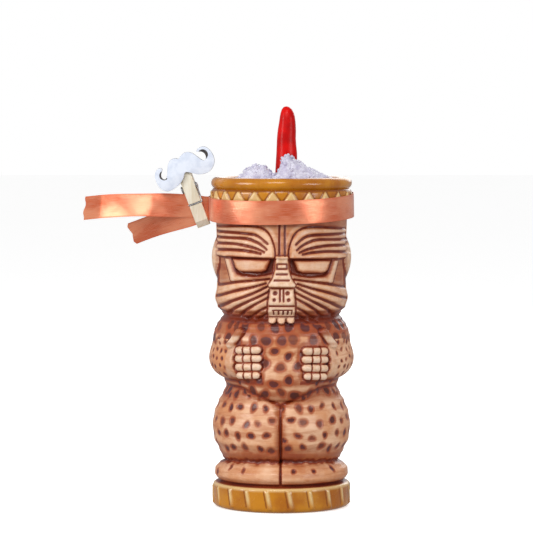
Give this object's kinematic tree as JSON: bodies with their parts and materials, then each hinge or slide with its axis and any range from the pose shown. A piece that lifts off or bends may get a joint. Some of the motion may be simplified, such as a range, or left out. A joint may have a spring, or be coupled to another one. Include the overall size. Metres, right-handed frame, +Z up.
{
  "type": "tiki mug",
  "caption": "Ceramic idol mug packed with crushed ice and a red chilli, with a satin ribbon held by a small clothes-peg that carries a moustache plaque.",
  "frame": {"origin": "centre of the flat foot that the mug stands on", "axes": "+Z up along the mug's axis; the idol's face looks along -Y; the ribbon tails run towards -X"},
  "size_m": [0.1476, 0.0786, 0.216],
  "materials": {
    "glazed_stoneware": "glossy cream glaze with amber rim and foot band, brown wash in the carving and dark spots",
    "satin_ribbon": "copper satin with a soft sheen",
    "peg_wood": "pale unvarnished birch",
    "spring_wire": "drawn wire",
    "painted_wood": "satin white paint with black curl marks",
    "ice": "crushed, frosted and wet",
    "pepper_skin": "waxy red skin",
    "pepper_stem": "dull green stalk"
  },
  "bodies": {
    "mug": {"mug": "glazed_stoneware", "ribbon": "satin_ribbon", "peg_back_leg": "peg_wood", "peg_spring_back_arm": "spring_wire"},
    "peg_front": {"peg_front_leg": "peg_wood", "peg_spring": "spring_wire", "moustache_plaque": "painted_wood"},
    "ice": {"ice_pack": "ice", "ice_lumps": "ice"},
    "pepper": {"pepper_flesh": "pepper_skin", "pepper_calyx": "pepper_stem"}
  },
  "joints": [
    {"name": "peg_jaw", "type": "hinge", "parent": "mug", "child": "peg_front", "pos_m": [-0.04943, 0.00011, 0.17208], "axis": [0.9345, -0.0829, 0.3462], "range_deg": [-14, 0], "stiffness_Nm_per_rad": 0.05},
    {"name": "ice_lift", "type": "slide", "parent": "mug", "child": "ice", "axis": [0, 0, 1], "range_m": [0, 0.075]},
    {"name": "pepper_pull", "type": "slide", "parent": "ice", "child": "pepper", "axis": [0, 0, 1], "range_m": [0, 0.045]}
  ]
}
